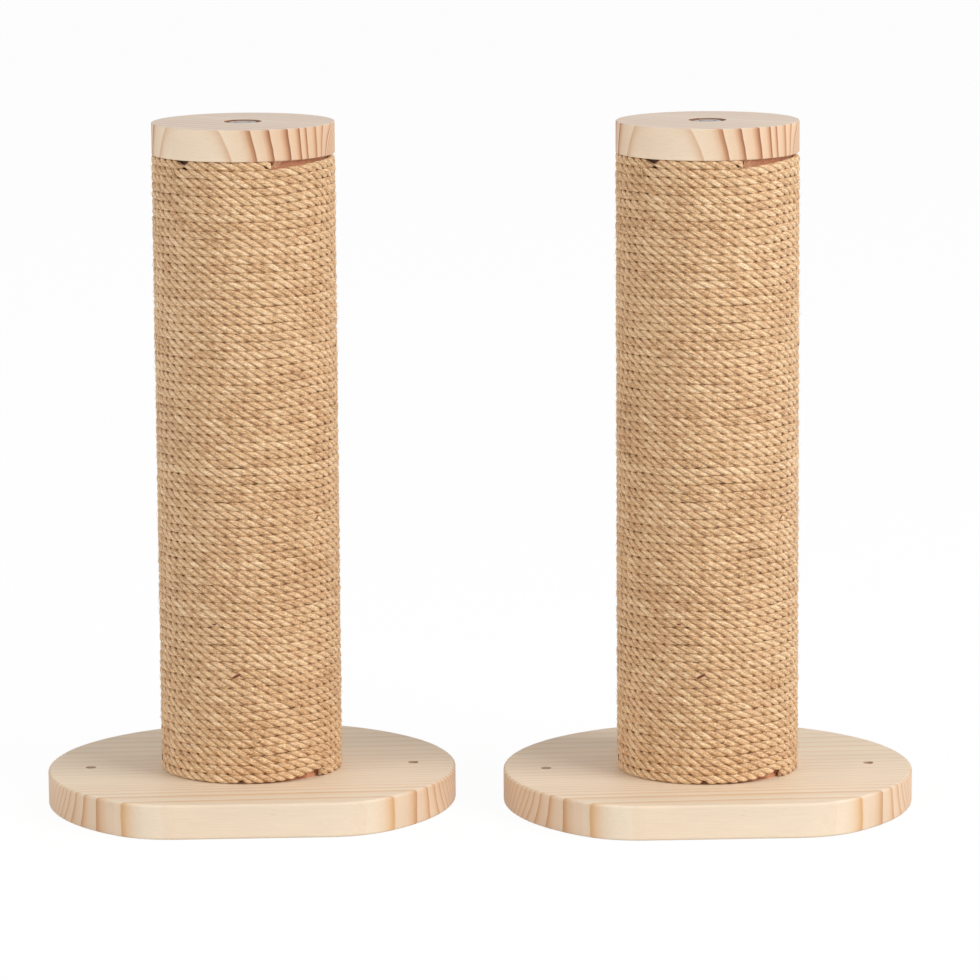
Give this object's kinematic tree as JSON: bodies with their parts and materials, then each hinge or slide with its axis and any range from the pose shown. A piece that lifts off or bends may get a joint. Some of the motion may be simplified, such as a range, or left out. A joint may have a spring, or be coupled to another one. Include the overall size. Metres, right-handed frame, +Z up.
{
  "type": "pair of rope-wound scratching posts",
  "caption": "Pair of upright pet scratching posts, each a jute-wound paper tube between a flat-sided pine base with screw holes and a round pine cap.",
  "frame": {"origin": "on the floor, at the middle of the box round both posts", "axes": "+Z up along the posts, +X from the left post to the right post, -Y towards the viewer"},
  "size_m": [0.423, 0.204, 0.3343],
  "materials": {
    "pine": "sanded, bare",
    "paper_tube": "matt",
    "jute_rope": "laid natural fibre",
    "zinc_steel": "bright zinc",
    "tack_steel": "dark blued"
  },
  "bodies": {
    "left_post": {"left_base_plate": "pine", "left_core_tube": "paper_tube", "left_lower_plug": "pine", "left_upper_plug": "pine", "left_rope_top_turns": "jute_rope", "left_rope_middle": "jute_rope", "left_rope_bottom_turns": "jute_rope", "left_rope_tacks": "tack_steel", "left_cap": "pine", "left_through_rod": "zinc_steel", "left_top_nut": "zinc_steel", "left_top_washer": "zinc_steel", "left_bottom_nut": "zinc_steel", "left_bottom_washer": "zinc_steel"},
    "right_post": {"right_base_plate": "pine", "right_core_tube": "paper_tube", "right_lower_plug": "pine", "right_upper_plug": "pine", "right_rope_top_turns": "jute_rope", "right_rope_middle": "jute_rope", "right_rope_bottom_turns": "jute_rope", "right_rope_tacks": "tack_steel", "right_cap": "pine", "right_through_rod": "zinc_steel", "right_top_nut": "zinc_steel", "right_top_washer": "zinc_steel", "right_bottom_nut": "zinc_steel", "right_bottom_washer": "zinc_steel"}
  },
  "joints": [
    {"name": "post_spacing", "type": "slide", "parent": "left_post", "child": "right_post", "axis": [1, 0, 0], "range_m": [-0.02, 0.4]}
  ]
}
